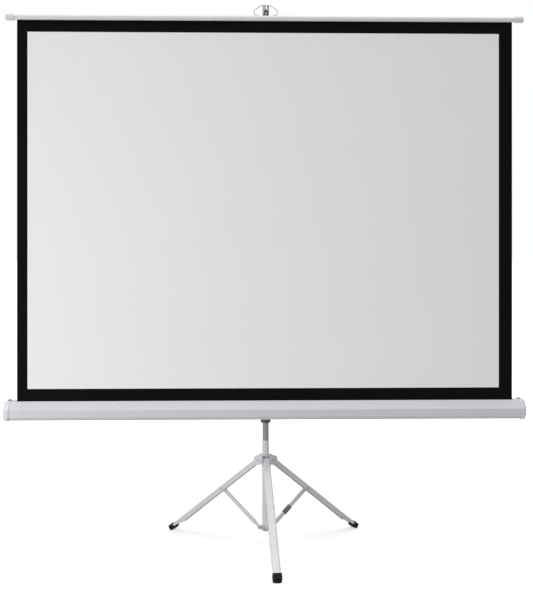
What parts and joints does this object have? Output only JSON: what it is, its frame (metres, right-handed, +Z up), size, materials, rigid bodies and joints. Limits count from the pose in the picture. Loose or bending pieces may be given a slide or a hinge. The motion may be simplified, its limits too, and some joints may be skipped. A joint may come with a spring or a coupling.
{
  "type": "portable projection screen",
  "caption": "Pull-up projection screen: a wide white cloth with black borders drawn from a slim case, held by a telescopic mast on a folding tripod.",
  "frame": {"origin": "on the floor, under the middle of the whole object's box", "axes": "+Z up, the picture faces -Y, +X to the right as the viewer sees it"},
  "size_m": [2.232, 0.7624, 2.3442],
  "materials": {
    "white_paint": "satin white powder coat",
    "mast_grey": "satin grey paint",
    "case_silver": "satin anodised",
    "white_plastic": "satin moulded",
    "dark_plastic": "matt moulded",
    "nylon": "natural",
    "black_rubber": "matt moulded",
    "steel": "zinc plated",
    "dark_steel": "dark satin",
    "screen_cloth": "matt white front with black borders, black back"
  },
  "bodies": {
    "stand": {"outer_tube": "white_paint", "mast_tube": "mast_grey", "mast_rivet": "steel", "tube_bush": "nylon", "hub": "white_paint", "leg_pins": "steel", "stop_collar": "dark_plastic", "stop_screw": "steel", "mast_bush": "dark_plastic", "rod_button_spring": "steel"},
    "leg_front": {"leg_front": "white_paint", "foot_front": "black_rubber", "brace_rivet_front": "steel"},
    "leg_left": {"leg_left": "white_paint", "foot_left": "black_rubber", "brace_rivet_left": "steel"},
    "leg_right": {"leg_right": "white_paint", "foot_right": "black_rubber", "brace_rivet_right": "steel"},
    "brace_front": {"brace_front": "white_paint"},
    "brace_left": {"brace_left": "white_paint"},
    "brace_right": {"brace_right": "white_paint", "brace_band": "dark_plastic"},
    "spreader": {"spreader_collar": "dark_plastic", "spreader_rod": "mast_grey", "collar_pins": "steel"},
    "rod": {"extension_rod": "mast_grey", "rod_guide": "nylon", "rod_head": "dark_plastic", "hook_tab": "white_paint", "hook": "dark_steel", "hook_rivet": "steel"},
    "rod_button": {"rod_button": "dark_plastic"},
    "carriage": {"carriage_body": "dark_plastic", "pivot_bolt": "steel", "pivot_washer": "nylon", "height_spring": "steel"},
    "height_button": {"height_button": "dark_plastic"},
    "case": {"case_shell": "case_silver", "end_cap_left": "white_plastic", "end_cap_right": "white_plastic", "cap_screws": "steel", "pivot_plate": "steel", "plate_rivets": "steel", "spring_shaft": "steel", "screen_fabric": "screen_cloth"},
    "roller": {"roller_tube": "steel", "roller_plug_left": "nylon", "roller_plug_right": "nylon", "roller_gudgeon": "steel", "roller_spring": "steel", "fabric_roll": "screen_cloth"},
    "top_bar": {"bar_tube": "white_paint", "bar_plug_left": "white_plastic", "bar_plug_right": "white_plastic", "hem_rod": "steel", "bail_lugs": "steel"},
    "bail": {"bail": "steel"}
  },
  "joints": [
    {"name": "leg_fold", "type": "hinge", "parent": "stand", "child": "leg_front", "pos_m": [0.002, 0.08655, 0.3691], "axis": [0.9974, 0.0715, 0], "range_deg": [0, 47]},
    {"name": "brace_fold_front", "type": "hinge", "parent": "leg_front", "child": "brace_front", "pos_m": [0.01537, -0.10001, 0.22032], "axis": [0.9974, 0.0715, 0], "range_deg": [-94, 0]},
    {"name": "leg_fold_left", "type": "hinge", "parent": "stand", "child": "leg_left", "pos_m": [-0.02439, 0.12823, 0.3691], "axis": [-0.4909, -0.8712, 0], "range_deg": [0, 47]},
    {"name": "brace_fold_left", "type": "hinge", "parent": "leg_left", "child": "brace_left", "pos_m": [-0.18735, 0.22004, 0.22032], "axis": [-0.4909, -0.8712, 0], "range_deg": [-94, 0]},
    {"name": "leg_fold_right", "type": "hinge", "parent": "stand", "child": "leg_right", "pos_m": [0.0241, 0.12873, 0.3691], "axis": [-0.509, 0.8607, 0], "range_deg": [0, 47]},
    {"name": "brace_fold_right", "type": "hinge", "parent": "leg_right", "child": "brace_right", "pos_m": [0.1851, 0.22395, 0.22032], "axis": [-0.509, 0.8607, 0], "range_deg": [-94, 0]},
    {"name": "spreader_fold", "type": "hinge", "parent": "brace_front", "child": "spreader", "pos_m": [0.002, 0.08655, 0.07154], "axis": [0.9974, 0.0715, 0], "range_deg": [0, 47]},
    {"name": "rod_slide", "type": "slide", "parent": "stand", "child": "rod", "axis": [0, 0, -1], "range_m": [0, 0.835]},
    {"name": "rod_button_press", "type": "slide", "parent": "stand", "child": "rod_button", "axis": [0, -1, 0], "range_m": [0, 0.003], "stiffness_N_per_m": 800, "springref_m": -0.002, "deforming": ["rod_button_spring"]},
    {"name": "case_height", "type": "slide", "parent": "stand", "child": "carriage", "axis": [0, 0, 1], "range_m": [0, 0.3]},
    {"name": "height_button_press", "type": "slide", "parent": "carriage", "child": "height_button", "axis": [0, -1, 0], "range_m": [0, 0.0035], "stiffness_N_per_m": 800, "springref_m": -0.002, "deforming": ["height_spring"]},
    {"name": "case_pivot", "type": "hinge", "parent": "carriage", "child": "case", "pos_m": [0, 0.08968, 0.59925], "axis": [0, 1, 0], "range_deg": [0, 70]},
    {"name": "screen_retract", "type": "slide", "parent": "case", "child": "top_bar", "axis": [0, 0, -1], "range_m": [0, 1.6185], "deforming": ["screen_fabric"]},
    {"name": "roller_spin", "type": "hinge", "parent": "case", "child": "roller", "pos_m": [0, 0.06493, 0.593], "axis": [1, 0, 0], "range_deg": [0, 4920]},
    {"name": "bail_swing", "type": "hinge", "parent": "top_bar", "child": "bail", "pos_m": [0, 0.04818, 2.2917], "axis": [1, 0, 0], "range_deg": [0, 115]}
  ],
  "couplings": [
    {"joint": "brace_fold_front", "follows": "leg_fold", "ratio": -2},
    {"joint": "leg_fold_left", "follows": "leg_fold", "ratio": 1},
    {"joint": "brace_fold_left", "follows": "leg_fold", "ratio": -2},
    {"joint": "leg_fold_right", "follows": "leg_fold", "ratio": 1},
    {"joint": "brace_fold_right", "follows": "leg_fold", "ratio": -2},
    {"joint": "spreader_fold", "follows": "leg_fold", "ratio": 1},
    {"joint": "roller_spin", "follows": "screen_retract", "rad_per_m": 52.91}
  ]
}
